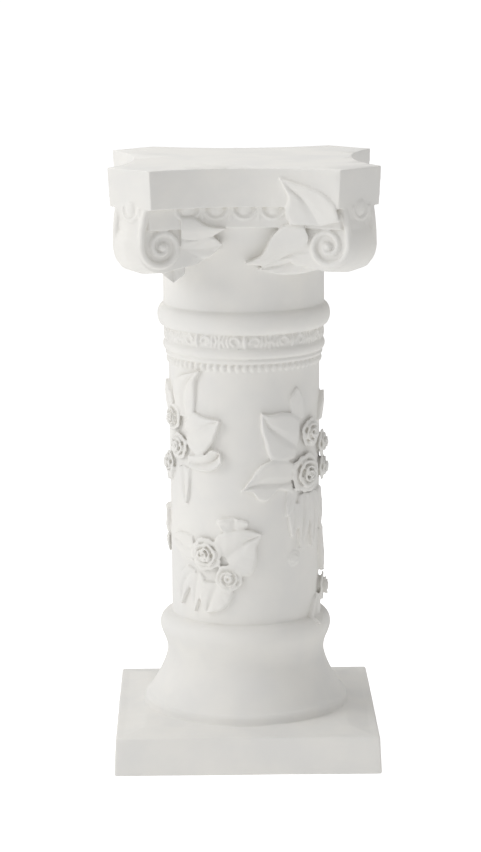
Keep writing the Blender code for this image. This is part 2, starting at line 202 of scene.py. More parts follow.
def turned_profile():
    waist = (WAIST_RADIUS, WAIST_Z)
    profile = swelling(PLINTH_TOP - 4 * MM, FOOT_TOP, FOOT_RADIUS, FOOT_SWELL)
    profile += eased((GROOVE_RADIUS, GROOVE_TOP), waist, lambda t: 1 - (1 - t) ** 1.45)
    profile += eased(waist, (RING_RADIUS, RING_Z), lambda t: (1 - cos(pi * t**1.25)) / 2)[1:]
    for i in range(1, 9):
        a = pi / 2 * i / 8
        radius = SHAFT_FOOT_RADIUS + (RING_RADIUS - SHAFT_FOOT_RADIUS) * cos(a)
        profile.append((radius, RING_Z + (SHAFT_BOTTOM - RING_Z) * sin(a)))
    profile += [(SHAFT_HEAD_RADIUS, SHAFT_TOP)]
    profile += swelling(BEADS_TOP, FILLET_TOP, SHAFT_HEAD_RADIUS, FILLET_RADIUS - SHAFT_HEAD_RADIUS)
    profile += swelling(FILLET_TOP + 0.5 * MM, BAND_TOP, FRIEZE_RADIUS, BAND_RADIUS - FRIEZE_RADIUS)
    profile += [(FRIEZE_RADIUS, FRIEZE_TOP - 0.5 * MM)]
    profile += swelling(FRIEZE_TOP, ASTRAGAL_TOP, ASTRAGAL_RADIUS, ASTRAGAL_SWELL, 14)
    profile += eased((NECK_RADIUS, NECK_TOP), (BELL_RADIUS, EGG_BAND_BOTTOM), lambda t: t**1.8)
    return profile


PROFILE = turned_profile()
profile_radii, profile_heights = zip(*PROFILE)


def turned_radius(z):
    return float(np.interp(z, profile_heights, profile_radii))


print(len(PROFILE), "points on the profile; radius at mid shaft", round(turned_radius(0.3), 4))

# %% Spin the profile
inside_plinth = [(0.0, 0.02), (GROOVE_RADIUS, 0.02)]
inside_slab = [(BELL_RADIUS, SLAB_BOTTOM + 0.01), (0.0, SLAB_BOTTOM + 0.01)]
stations = inside_plinth + PROFILE + inside_slab

bpy.ops.object.select_all(action="DESELECT")
bpy.ops.mesh.primitive_plane_add(size=0.01)
column = new_piece("turned_column")
edit(column)
bpy.ops.mesh.merge(type="CENTER")
bpy.ops.transform.translate(value=(stations[0][0], 0, stations[0][1]))
for (r0, z0), (r1, z1) in zip(stations, stations[1:]):
    bpy.ops.mesh.extrude_region_move(TRANSFORM_OT_translate={"value": (r1 - r0, 0, z1 - z0)})
bpy.ops.mesh.select_all(action="SELECT")
bpy.ops.mesh.spin(steps=160, angle=2 * pi, center=(0, 0, 0), axis=(0, 0, 1))
bpy.ops.mesh.select_all(action="SELECT")
bpy.ops.mesh.remove_doubles(threshold=0.00001)
bpy.ops.mesh.normals_make_consistent(inside=False)
finished()
casting_pieces.append(column)
print("turned column:", len(column.data.polygons), "faces")

# %% [markdown]
# ## The plinth
#
# The plinth is a square block that a mould leaves a touch narrower at the top, with worn edges. It is a
# cube whose top is scaled in and whose edges are bevelled. Its top rises very gently towards the foot,
# so a low four-sided cone lies on it.

# %% Plinth
bpy.ops.object.select_all(action="DESELECT")
bpy.ops.mesh.primitive_cube_add(size=1, location=(0, 0, PLINTH_TOP / 2), scale=(2 * HALF, 2 * HALF, PLINTH_TOP))
plinth = new_piece("plinth")
edit(plinth)
select_where(plinth, lambda place: place.z > PLINTH_TOP / 2)
top_share = 1 - PLINTH_TAPER / HALF
bpy.ops.transform.resize(value=(top_share, top_share, 1), center_override=(0, 0, 0))
finished()
applied(plinth, "BEVEL", width=2.0 * MM, segments=3, limit_method="ANGLE")
casting_pieces.append(plinth)

RISE_FOOT, RISE_HEIGHT = 0.118, 5.0 * MM
bpy.ops.object.select_all(action="DESELECT")
bpy.ops.mesh.primitive_cone_add(
    vertices=4, radius1=(HALF - 3 * MM) * sqrt(2), radius2=RISE_FOOT * sqrt(2), depth=RISE_HEIGHT + 2 * MM,
    location=(0, 0, PLINTH_TOP + RISE_HEIGHT / 2 - 1 * MM), rotation=(0, 0, pi / 4))
rise = new_piece("plinth_rise")
casting_pieces.append(rise)
print("plinth top rises by", RISE_HEIGHT / MM, "mm towards the foot")

# %% [markdown]
# ## The slab and the egg band
#
# Seen from above the slab is a square with cut corners and four hollow sides. That is how a carpenter
# would make it too: saw the corners off, then scoop each side with a large round cutter. The cube gets
# its corners by bevelling the upright edges, and four cylinders cut the sides with Boolean modifiers.
# The egg band below has the same plan, a little smaller.

# %% Blocks with hollow sides
def hollow_block(name, inset, bottom, top, taper):
    """A square block with cut corners and four hollow sides, narrower at the bottom by the taper."""
    size = 2 * (HALF - inset)
    place = (0, 0, (bottom + top) / 2)
    bpy.ops.object.select_all(action="DESELECT")
    bpy.ops.mesh.primitive_cube_add(size=1, location=place, scale=(size, size, top - bottom))
    block = new_piece(name)
    edit(block)
    bpy.ops.mesh.select_mode(type="EDGE")
    bpy.ops.mesh.select_all(action="DESELECT")
    finished()
    for edge in block.data.edges:
        a, b = (block.data.vertices[i].co for i in edge.vertices)
        edge.select = abs(a.z - b.z) > 0.001
    bpy.ops.object.mode_set(mode="EDIT")
    bpy.ops.mesh.bevel(offset=HALF - inset - SLAB_REACH, offset_type="OFFSET", segments=1, affect="EDGES")
    finished()
    for side in range(4):
        out = HALF - SLAB_HOLLOW - inset + SIDE_RADIUS
        a = side * pi / 2
        bpy.ops.object.select_all(action="DESELECT")
        bpy.ops.mesh.primitive_cylinder_add(
            vertices=360, radius=SIDE_RADIUS, depth=0.2, location=(out * sin(a), -out * cos(a), place[2]))
        cutter = new_piece("side_cutter")
        applied(block, "BOOLEAN", operation="DIFFERENCE", solver="EXACT", object=cutter)
        bpy.data.objects.remove(cutter, do_unlink=True)
    edit(block)
    select_where(block, lambda co: co.z < place[2])
    share = 1 - taper / HALF
    bpy.ops.transform.resize(value=(share, share, 1), center_override=(0, 0, bottom))
    finished()
    return block


slab = hollow_block("slab", 0.0, SLAB_BOTTOM, HEIGHT, SLAB_TAPER)
applied(slab, "BEVEL", width=1.6 * MM, segments=3, limit_method="ANGLE", angle_limit=radians(25))
egg_band = hollow_block("egg_band", EGG_BAND_INSET, EGG_BAND_BOTTOM, SLAB_BOTTOM + 4 * MM, 0.0)
casting_pieces += [slab, egg_band]
print("slab:", len(slab.data.polygons), "faces, egg band:", len(egg_band.data.polygons))

# %% [markdown]
# ## Drawing ornament flat
#
# Ornament is much easier to model flat on a table and to lay on the body afterwards, just as a sculptor
# presses flat clay ornament onto a column. In the flat drawing X runs across, Y runs up and Z is the
# lift off the body. Each surface below is a function that turns such a place into a place on the body.

# %% Surfaces to lay ornament on
def side_depth(x, inset=0.0):
    """How far a hollow side lies from the axis, at x from its middle."""
    return HALF - SLAB_HOLLOW - inset + SIDE_RADIUS - sqrt(SIDE_RADIUS**2 - x**2)


def on_column(across, up, lift):
    """Round the column, across being the arc on the shaft's mean radius."""
    radius, a = turned_radius(up) + lift, across / SHAFT_RADIUS
    return Vector((radius * sin(a), -radius * cos(a), up))


def on_hollow_side(inset, side=0):
    """A hollow face of the slab or the egg band. Side 0 is the front, 1 the right."""
    turn = Matrix.Rotation(side * pi / 2, 3, "Z")
    return lambda across, up, lift: turn @ Vector((across, -side_depth(across, inset) - lift, up))


def on_capital(side=0, inset=EGG_BAND_INSET):
    """The egg band and, below it, the bell, as leaves lie on them beside the scrolls."""
    turn = Matrix.Rotation(side * pi / 2, 3, "Z")

    def place(across, up, lift):
        drop = BELL_RADIUS - turned_radius(min(up, EGG_BAND_BOTTOM))
        return turn @ Vector((across, drop - side_depth(across, inset) - lift, up))

    return place


def lay(piece, surface):
    """Lay a flat drawing on a surface."""
    for vertex in piece.data.vertices:
        vertex.co = surface(*vertex.co)
    piece.data.update()
    casting_pieces.append(piece)
    return piece


def copied(piece, turn=0.0, scale=(1, 1, 1), move=(0, 0, 0)):
    """A copy with its own mesh: scaled, turned in the drawing by an angle in degrees, and moved."""
    twin = piece.copy()
    twin.data = piece.data.copy()
    bpy.context.scene.collection.objects.link(twin)
    stretch = Matrix.Diagonal((*scale, 1))
    twin.data.transform(Matrix.Translation(move) @ Matrix.Rotation(radians(turn), 4, "Z") @ stretch)
    return twin


def joined(name, pieces):
    select_only(*pieces)
    bpy.ops.object.join()
    whole = bpy.context.object
    whole.name = whole.data.name = name
    return whole


def cord(name, path, radii, squash=1.0):
    """A round cord along (across, up) places, with a radius at each, made from a bevelled curve."""
    curve = bpy.data.curves.new(name, "CURVE")
    curve.dimensions, curve.bevel_depth, curve.bevel_resolution = "3D", 1.0, 3
    curve.use_fill_caps = True
    line = curve.splines.new("POLY")
    line.points.add(len(path) - 1)
    for point, (across, up), radius in zip(line.points, path, radii):
        point.co, point.radius = (across, up, 0, 1), radius
    piece = bpy.data.objects.new(name, curve)
    bpy.context.scene.collection.objects.link(piece)
    select_only(piece)
    bpy.ops.object.convert(target="MESH")
    piece = bpy.context.object
    piece.data.transform(Matrix.Diagonal((1, 1, squash, 1)))
    return piece


def ball(name, half_width, half_height, lift, at=(0, 0), segments=20):
    """A round boss: a UV sphere scaled to its size, its middle on the surface."""
    bpy.ops.object.select_all(action="DESELECT")
    bpy.ops.mesh.primitive_uv_sphere_add(
        segments=segments, ring_count=segments // 2, radius=1, location=(*at, 0),
        scale=(half_width, half_height, lift))
    return new_piece(name)


# %% [markdown]
# ## The egg band
#
# Along the hollow sides hangs a row of eggs, each in a round collar, with a small dart between two of
# them. The upper half of every egg and collar is hidden in the slab. One unit is modelled flat, with
# spheres and a bevelled curve, and its copies are laid on all four sides and on the cut corners.

# %% Eggs, collars and darts
EGG_SPACING, EGG_COLLAR_RADIUS = 32.0 * MM, 13.6 * MM


def arc(x, y, radius, start, end, steps=16, shrink=0.0):
    """Places along an arc in degrees, its radius falling by the share shrink on the way."""
    places = []
    for i in range(steps + 1):
        a, r = radians(start + (end - start) * i / steps), radius * (1 - shrink * i / steps)
        places.append((x + r * cos(a), y + r * sin(a)))
    return places


egg = ball("egg", 7.6 * MM, 8.6 * MM, 3.6 * MM)
collar_path = arc(0, 0, EGG_COLLAR_RADIUS, 175, 365)
collar = cord("egg_collar", collar_path, [1.9 * MM] * len(collar_path), squash=1.25)
dart = cord("egg_dart", [(EGG_SPACING / 2, 1 * MM), (EGG_SPACING / 2, -9 * MM), (EGG_SPACING / 2, -16 * MM)],
            [2.2 * MM, 1.9 * MM, 0.6 * MM])
egg_unit = joined("egg_unit", [egg, collar, dart])


def on_cut_corner(corner):
    turn = Matrix.Rotation((corner + 0.5) * pi / 2, 3, "Z")
    return lambda across, up, lift: turn @ Vector((across, -SCROLL_HEAD_OUT - lift, up))


SCROLL_HEAD_OUT = 0.1825
for side in range(4):
    for i in range(-2, 3):
        lay(copied(egg_unit, move=(i * EGG_SPACING, SLAB_BOTTOM, 0)), on_hollow_side(EGG_BAND_INSET, side))
    lay(copied(egg_unit, scale=(0.92, 1, 0.8), move=(1.5 * MM, SLAB_BOTTOM, 0)), on_cut_corner(side))
bpy.data.objects.remove(egg_unit, do_unlink=True)
print("egg band: 20 eggs on the sides and 4 on the corners")

# %% [markdown]
# ## The corner scrolls
#
# Under each corner of the slab sits a block whose lower end rolls up into a scroll. Its flanks are not
# parallel: the block is wider towards the column. The side outline is drawn once, extruded across, and
# both flanks are cut with slanted planes (Bisect). A spiral band that grows narrower towards the eye is
# laid on each flank. A curve with a bevel and its own radius at each point makes it in one go.

# %% Scroll block
SCROLL_OUT, SCROLL_Z, SCROLL_RADIUS, SCROLL_CROWN = 0.159, 0.613, 0.030, 3.0 * MM
SCROLL_HEAD_BOTTOM = 0.642
SCROLL_WEB = ((0.118, 0.591), (0.090, 0.606), (0.060, 0.615))
SCROLL_HALF_WIDTH, SCROLL_NARROWING = 0.0312, radians(19)
FLANK_SUNK = 2.6 * MM


def scroll_outline():
    """The block seen from its flank, as (out, up)."""
    roll = arc(SCROLL_OUT, SCROLL_Z, SCROLL_RADIUS, 35, -110, 30)
    top = SLAB_BOTTOM + 4 * MM
    head = [(SCROLL_WEB[-1][0], top), (SCROLL_HEAD_OUT, top), (SCROLL_HEAD_OUT, SCROLL_HEAD_BOTTOM)]
    return head + roll + list(SCROLL_WEB)


def scroll_block():
    """The block lying along +X: X is out, Z is up, and it is extruded both ways along Y."""
    outline = scroll_outline()
    bpy.ops.object.select_all(action="DESELECT")
    bpy.ops.mesh.primitive_circle_add(vertices=len(outline), radius=0.05, fill_type="NGON")
    block = new_piece("scroll_block")
    reach = 0.07
    for vertex, (out, up) in zip(block.data.vertices, outline):
        vertex.co = (out, -reach, up)
    edit(block)
    bpy.ops.mesh.extrude_region_move(TRANSFORM_OT_translate={"value": (0, 2 * reach, 0)})
    for side in (-1, 1):
        bpy.ops.mesh.select_all(action="SELECT")
        bpy.ops.mesh.bisect(
            plane_co=(SCROLL_OUT, side * (SCROLL_HALF_WIDTH - FLANK_SUNK), 0),
            plane_no=(sin(SCROLL_NARROWING), side * cos(SCROLL_NARROWING), 0),
            use_fill=True, clear_outer=True)
    finished()
    edit(block)
    bpy.ops.mesh.bisect(plane_co=(0, 0, 0), plane_no=(0, 1, 0))
    finished()
    for vertex in block.data.vertices:
        if abs(vertex.co.y) < 0.001 and vertex.co.x > SCROLL_OUT - 0.02 and vertex.co.z < SCROLL_HEAD_BOTTOM:
            out = Vector((vertex.co.x - SCROLL_OUT, 0, vertex.co.z - SCROLL_Z))
            vertex.co += out.normalized() * SCROLL_CROWN
    return block


def spiral_band():
    """Down from the slab, round the rim and in to the eye, drawn flat with the eye at the origin."""
    path, radii = [(18 * MM, 44 * MM), (21.5 * MM, 33 * MM), (24 * MM, 20 * MM)], [4.2 * MM] * 3
    steps = 72
    for i in range(steps + 1):
        share = i / steps
        a, r = -2 * pi * 1.62 * share, (25.3 - 20.8 * share**0.92) * MM
        path.append((r * cos(a), r * sin(a)))
        radii.append((4.3 - 2.0 * share) * MM)
    band = cord("spiral_band", path, radii, squash=1.05)
    eye = ball("scroll_eye", 4.6 * MM, 4.6 * MM, 5.2 * MM)
    return joined("spiral_band", [band, eye])


def on_flank(corner, side):
    """A flank of the scroll at a corner. Across runs outwards from the eye."""
    turn = Matrix.Rotation((corner - 0.75) * pi / 2 - pi / 4 + pi / 4, 3, "Z")
    along = Vector((cos(SCROLL_NARROWING), -side * sin(SCROLL_NARROWING), 0))
    normal = Vector((sin(SCROLL_NARROWING), side * cos(SCROLL_NARROWING), 0))
    eye = Vector((SCROLL_OUT + 2 * MM, side * (SCROLL_HALF_WIDTH - FLANK_SUNK), SCROLL_Z))

    def place(across, up, lift):
        point = eye + along * across + normal * lift
        point.z = SCROLL_Z + up
        return turn @ point

    return place


block_pattern, band_pattern = scroll_block(), spiral_band()
for corner in range(4):
    turn = Matrix.Rotation(radians(45 + 90 * corner), 4, "Z")
    block = copied(block_pattern)
    block.data.transform(turn)
    casting_pieces.append(block)
    for side in (-1, 1):
        flank = on_flank(corner, side)
        band = copied(band_pattern)
        for vertex in band.data.vertices:
            across, up, lift = vertex.co
            point = Vector((SCROLL_OUT + 2 * MM, side * (SCROLL_HALF_WIDTH - FLANK_SUNK), SCROLL_Z + up))
            point += Vector((cos(SCROLL_NARROWING), -side * sin(SCROLL_NARROWING), 0)) * across
            point += Vector((sin(SCROLL_NARROWING), side * cos(SCROLL_NARROWING), 0)) * lift
            vertex.co = turn @ point
        casting_pieces.append(band)
for pattern in (block_pattern, band_pattern):
    bpy.data.objects.remove(pattern, do_unlink=True)
print("four scroll blocks with eight spiral bands")

# %% [markdown]
# ## Beads and frieze
#
# The shaft ends in a row of upright beads. Above them runs a narrow frieze of buds between pairs of
# small scrolls, blurred by the mould. Both are one small unit, copied round the column.

# %% Beads
BEAD_COUNT = 66
bead_middle, bead_half = (SHAFT_TOP + BEADS_TOP) / 2, (BEADS_TOP - SHAFT_TOP) / 2
bead = ball("bead", 3.5 * MM, bead_half, 3.0 * MM, segments=12)
around = 2 * pi * SHAFT_RADIUS
for i in range(BEAD_COUNT):
    lay(copied(bead, move=(i * around / BEAD_COUNT, bead_middle, 0)), on_column)
bpy.data.objects.remove(bead, do_unlink=True)
print(BEAD_COUNT, "beads,", round(around / BEAD_COUNT / MM, 1), "mm apart")

# %% Frieze
FRIEZE_UNITS = 10
frieze_middle = (BAND_TOP + FRIEZE_TOP) / 2


def frieze_unit():
    """A bud, a pair of scrolls and three pairs of leaflets, drawn flat."""
    parts = [ball("bud", 2.6 * MM, 7.6 * MM, 3.4 * MM)]
    for side in (-1, 1):
        scroll = [(side * (11.5 * MM + x), y) for x, y in arc(0, 0, 6.2 * MM, 200, -95, 20, shrink=0.45)]
        parts.append(cord("frieze_scroll", scroll, [1.5 * MM] * len(scroll), squash=1.5))
        leaflet = [(side * x * MM, y * MM) for x, y in ((17.5, -6.5), (19.6, -1.0), (18.6, 6.0))]
        parts.append(cord("frieze_leaflet", leaflet, [0.9 * MM, 1.7 * MM, 0.8 * MM], squash=1.6))
        leaflet = [(side * x * MM, y * MM) for x, y in ((22.0, -6.8), (24.2, 0.0), (22.6, 6.5))]
        parts.append(cord("frieze_leaflet", leaflet, [0.9 * MM, 1.9 * MM, 0.8 * MM], squash=1.4))
        leaflet = [(side * x * MM, y * MM) for x, y in ((28.6, -6.8), (26.8, 0.0), (28.6, 6.8))]
        parts.append(cord("frieze_leaflet", leaflet, [1.0 * MM, 1.5 * MM, 1.0 * MM], squash=1.6))
    return joined("frieze_unit", parts)


unit = frieze_unit()
for i in range(FRIEZE_UNITS):
    lay(copied(unit, move=(i * around / FRIEZE_UNITS, frieze_middle, 0)), on_column)
bpy.data.objects.remove(unit, do_unlink=True)
print(FRIEZE_UNITS, "frieze units")

# %% [markdown]
# ## Leaves
#
# A leaf is drawn with three lines, as one would sketch it: its rib and its two edges, all running from
# the base to the tip. A flat grid is pulled onto those lines, so its middle column becomes the rib and
# its outer columns the edges. The grid's height makes the rib sink, the veins flute and the edge roll.
# Extrude then turns the sheet into a thick leaf whose underside is sunk in the column.

# %% Leaf
LEAF_COLUMNS, LEAF_ROWS = 14, 24


def along(points, t):
    """A place on the smooth line through points, t running from 0 to 1."""
    points = [Vector(point) for point in points]
    last = len(points) - 1
    i = min(int(t * last), last - 1)
    f, a, b = t * last - i, points[i], points[i + 1]
    before = points[i - 1] if i else 2 * a - b
    after = points[i + 2] if i + 2 <= last else 2 * b - a
    return 0.5 * (2 * a + (b - before) * f + (2 * before - 5 * a + 4 * b - after) * f**2
                  + (3 * a - before - 3 * b + after) * f**3)


def leaf(name, rib, one_edge, other_edge, tip, height=5.0, root=0.55, furrow=0.5, cup=0.25, veins=4.0,
         flute=0.5, ruffle=0.0, waves=2.5, tip_lift=0.0, depth=3.0):
    """A leaf from its rib and edges in millimetres across and up. Heights are in millimetres."""
    rib, one_edge, other_edge = ([*line, tip] for line in (rib, one_edge, other_edge))
    bpy.ops.object.select_all(action="DESELECT")
    bpy.ops.mesh.primitive_grid_add(x_subdivisions=LEAF_COLUMNS, y_subdivisions=LEAF_ROWS, size=2)
    sheet = new_piece(name)
    for vertex in sheet.data.vertices:
        across, t = vertex.co.x, (vertex.co.y + 1) / 2
        edge = abs(across)
        middle = along(rib, t)
        place = middle.lerp(along(other_edge if across > 0 else one_edge, t), edge)
        lift = height * (root + (1 - root) * min(1.0, 1.6 * t)) + tip_lift * t**3
        lift *= 1 - furrow * exp(-((edge / 0.17) ** 2)) + cup * (edge**2 - 0.4)
        lift -= flute * edge * (0.5 + 0.5 * cos(2 * pi * (veins * t - 1.3 * edge))) ** 3
        lift += ruffle * edge**2 * sin(2 * pi * waves * t + (2.1 if across > 0 else 0.0))
        lift *= 1 - 0.4 * max(0.0, (edge - 0.86) / 0.14) ** 2
        vertex.co = (place.x * MM, place.y * MM, lift * MM)
    edit(sheet)
    bpy.ops.mesh.extrude_region_move(TRANSFORM_OT_translate={"value": (0, 0, -depth * MM)})
    heart = along(rib, 0.5) * MM
    bpy.ops.transform.resize(value=(0.93, 0.93, 0), center_override=(heart.x, heart.y, -depth * MM))
    finished()
    return sheet


# %% [markdown]
# ## Roses
#
# A cast rose is a wound bud with rings of petals round it, each petal lying over its neighbour. One
# petal is a grid bent into a cup with a rolled lip, and Solidify gives it thickness. Copies turned round
# the bud make a ring, and each ring leans further out than the one inside it. The finished rose is
# modelled once, and every rose on the column is a scaled and turned copy.

# %% Petals and roses
ROSE_RADIUS, ROSE_LIFT = 20.0, 10.0


def petal(inner, outer, rise, span, tuck=0.8, thickness=1.6, notch=0.10):
    """One petal in millimetres: from the inner to the outer radius, rising, and span degrees wide."""
    bpy.ops.object.select_all(action="DESELECT")
    bpy.ops.mesh.primitive_grid_add(x_subdivisions=14, y_subdivisions=8, size=2)
    sheet = new_piece("petal")
    for vertex in sheet.data.vertices:
        side, s = vertex.co.x, (vertex.co.y + 1) / 2
        reach = s * (1 - 0.20 * abs(side) ** 3 - notch * exp(-((side / 0.22) ** 2)))
        r = inner + (outer - inner) * reach**1.4 + tuck * side
        z = rise * sin(pi / 2 * min(1.0, 1.15 * reach)) - 0.9 * max(0.0, reach - 0.72) / 0.28
        a = radians(side * span / 2 * (0.72 + 0.28 * reach))
        vertex.co = (r * cos(a) * MM, r * sin(a) * MM, z * MM)
    return applied(sheet, "SOLIDIFY", thickness=thickness * MM, offset=0)


def petal_ring(count, start, *shape, **more):
    pattern = petal(*shape, **more)
    ring = [copied(pattern, turn=start + 360 * i / count) for i in range(count)]
    bpy.data.objects.remove(pattern, do_unlink=True)
    return ring


def open_rose():
    parts = [ball("rose_heart", 14.5 * MM, 14.5 * MM, 4.6 * MM), ball("rose_bud", 5.0 * MM, 5.0 * MM, 7.0 * MM)]
    parts += petal_ring(2, 40, 1.6, 3.6, 10.2, 200, tuck=1.0, thickness=1.5, notch=0.0)
    parts += petal_ring(3, 0, 5.2, 7.8, 9.4, 150, tuck=1.1, thickness=1.5, notch=0.03)
    parts += petal_ring(5, 20, 8.0, 13.6, 7.0, 96, tuck=1.2)
    parts += petal_ring(5, 55, 10.5, 20.0, 4.2, 84, tuck=1.4)
    return joined("open_rose", parts)


def ring_rose():
    """A rose whose bud is a ring with a drilled middle."""
    parts = [ball("rose_heart", 14.5 * MM, 14.5 * MM, 4.6 * MM)]
    ring = arc(0, 0, 4.2 * MM, 0, 360, 24)
    bud = cord("bud_ring", ring, [2.0 * MM] * len(ring), squash=1.3)
    bud.data.transform(Matrix.Translation((0, 0, 7.2 * MM)))
    parts.append(bud)
    stem = ball("bud_stem", 5.4 * MM, 5.4 * MM, 6.6 * MM)
    parts.append(stem)
    parts += petal_ring(1, 130, 8.4, 11.2, 8.8, 230, tuck=1.0, notch=0.0)
    parts += petal_ring(1, -50, 8.8, 12.6, 7.2, 150, tuck=0.8, notch=0.05)
    parts += petal_ring(5, 10, 11.0, 20.0, 4.4, 88, tuck=1.4)
    return joined("ring_rose", parts)


rose_patterns = {"open": open_rose(), "ring": ring_rose()}
for kind, pattern in rose_patterns.items():
    print(kind, "rose:", len(pattern.data.polygons), "faces")

# %% [markdown]
# ## The sprays on the shaft
#
# Each spray is a few roses over a fan of leaves. The places are given as on a map of the shaft: degrees
# round from the front, positive to the right, and millimetres of height.

# %% Placing leaves and roses on the shaft
def on_map(point, turn=0.0, rise=0.0, mirror=1):
    """Degrees and height in millimetres to millimetres across and up in the flat drawing."""
    return Vector((radians(turn + mirror * point[0]) * SHAFT_RADIUS / MM, point[1] + rise))


def shaft_leaf(name, rib, one_edge, other_edge, tip, where=(), **shape):
    lines = [[on_map(point, *where) for point in line] for line in (rib, one_edge, other_edge)]
    lay(leaf(name, *lines, on_map(tip, *where), **shape), on_column)


def shaft_rose(kind, place, radius, lift, turn=0.0, where=()):
    across, up = on_map(place, *where) * MM
    share = radius / ROSE_RADIUS
    copy = copied(rose_patterns[kind], turn, (share, share, lift / ROSE_LIFT), (across, up, 0))
    lay(copy, on_column)


# %% Upper left spray
shaft_leaf("upper_long_leaf", [(-50, 403), (-52, 425), (-47, 446)], [(-59, 406), (-65, 430), (-60, 449)],
           [(-41, 408), (-39.5, 428), (-38.5, 450)], (-34, 462), height=5.5, furrow=0.6)
shaft_leaf("upper_side_leaf", [(-68, 398), (-75, 420)], [(-75, 396), (-84, 424)], [(-62, 402), (-68, 428)],
           (-80, 444), height=5.5)
shaft_leaf("upper_right_leaf", [(-50, 386), (-40, 390), (-30, 398), (-24, 402)],
           [(-50, 400), (-41, 411), (-32, 408), (-25, 406.5)], [(-46, 368), (-36, 361), (-26, 374), (-21, 391)],
           (-18, 405), height=6.0, tip_lift=3.0)
shaft_leaf("upper_curled_leaf", [(-48, 352), (-38, 351), (-28, 354), (-22, 360)],
           [(-47, 360), (-37, 361), (-30, 364), (-25, 370)], [(-46, 345), (-34, 343), (-24, 346), (-17, 356)],
           (-18.5, 369), height=6.0, cup=0.9, furrow=0.75, tip_lift=3.0)
shaft_leaf("upper_stem_leaf", [(-54, 346), (-52.5, 330), (-51, 314)], [(-60, 344), (-58.5, 328), (-55, 312)],
           [(-46, 344), (-46, 330), (-47, 314)], (-49.5, 301), height=4.5, furrow=0.7)
shaft_leaf("upper_back_leaf", [(-70, 345), (-77, 334)], [(-74, 350), (-84, 340)], [(-66, 340), (-72, 326)],
           (-80, 322), height=5.0)
shaft_rose("ring", (-65, 402), 16.5, 11.0, turn=150)
shaft_rose("open", (-58, 369), 16.5, 10.5, turn=20)
shaft_rose("open", (-75, 345), 14.5, 10.5, turn=80)
print(len(casting_pieces), "pieces so far")

# %% Centre right spray
shaft_leaf("right_top_leaf", [(43, 402), (42, 420)], [(37, 404), (35, 426)], [(50, 402), (48.5, 424)], (41.5, 441),
           height=4.0, furrow=0.3)
shaft_leaf("right_upper_leaf", [(43, 369), (36, 376.5), (29, 383.6), (22.7, 390.5), (17, 397.5)],
           [(44, 402), (36, 411), (28.4, 413), (21.9, 411.7), (16.5, 411.5)],
           [(38, 356), (26, 355.5), (18, 360), (14.5, 378), (11.5, 395)], (11.5, 414), height=6.5, furrow=0.6)
shaft_leaf("right_long_leaf", [(37, 330), (29, 328), (20, 329.5), (12, 330), (4, 327.5)],
           [(40, 350), (31, 356), (21, 357.5), (11, 351), (3.5, 336)],
           [(37, 316), (25, 322), (15.5, 309.5), (9, 311.5), (4.5, 321)], (-3.2, 321.5), height=6.5, furrow=0.55,
           ruffle=0.6)
shaft_leaf("right_down_leaf_1", [(37, 322), (35, 308)], [(33, 322), (31.5, 302)], [(42, 320), (39, 300)], (32, 288),
           height=4.5)
shaft_leaf("right_down_leaf_2", [(40, 303), (39.5, 285)], [(34, 300), (34, 280)], [(46, 302), (44.5, 280)],
           (37, 262), height=4.5)
shaft_leaf("right_down_leaf_3", [(50, 314), (49, 285)], [(44, 312), (43, 280)], [(56, 312), (55, 280)], (44, 247),
           height=5.5, furrow=0.7)
shaft_leaf("right_down_leaf_4", [(63, 314), (63, 285)], [(56, 312), (56, 280)], [(70, 310), (69, 280)], (58, 246),
           height=5.5, furrow=0.7)
shaft_leaf("right_down_leaf_5", [(76, 315), (75, 295)], [(71, 312), (70, 288)], [(82, 312), (80, 288)], (74, 262),
           height=5.5)
shaft_leaf("right_back_leaf", [(78, 392), (82, 408)], [(72, 394), (76, 412)], [(86, 392), (89, 408)], (84, 428),
           height=6.0)
shaft_rose("open", (57, 384), 18.0, 11.0, turn=10)
shaft_rose("open", (51, 337), 24.0, 12.5, turn=75)
shaft_rose("open", (80, 366), 16.0, 11.5, turn=40)
shaft_rose("open", (83, 336), 16.0, 11.5, turn=100)
shaft_rose("ring", (40, 237), 9.0, 3.0)

# %% Lower left spray
shaft_leaf("lower_ruffled_leaf", [(-10, 268), (-9, 280)], [(-18, 274), (-22, 286)], [(-2, 272), (2, 285)],
           (-9, 291), height=4.0, ruffle=1.6, waves=2.0, cup=0.6)
shaft_leaf("lower_right_leaf", [(-15, 240), (-10, 250), (-5, 255.5), (0, 262)],
           [(-26, 256), (-21, 269), (-11, 274), (1, 276.5)], [(-8, 222), (3, 222), (8, 238), (8, 256)],
           (12.5, 271), height=6.5, furrow=0.6, flute=0.8)
shaft_leaf("lower_down_leaf", [(-22, 212), (-25, 200), (-28, 188)], [(-33, 212), (-37, 198), (-35, 183)],
           [(-11, 208), (-10, 196), (-17, 181)], (-31, 174), height=5.5, flute=0.8)
shaft_leaf("lower_middle_leaf", [(-38, 222), (-41, 202)], [(-44, 218), (-46.5, 200)], [(-33, 216), (-36, 196)],
           (-42, 173), height=4.0)
shaft_leaf("lower_left_leaf", [(-42, 224), (-53, 208)], [(-50, 228), (-63, 208)], [(-41, 214), (-48, 200)],
           (-56, 179), height=5.0)
shaft_leaf("lower_side_leaf", [(-42, 248), (-56, 252)], [(-44, 264), (-58, 266)], [(-44, 234), (-58, 240)],
           (-70, 258), height=4.5)
shaft_rose("open", (-31, 245), 20.5, 10.5, turn=35)
shaft_rose("ring", (-13, 218), 16.5, 9.0, turn=20)

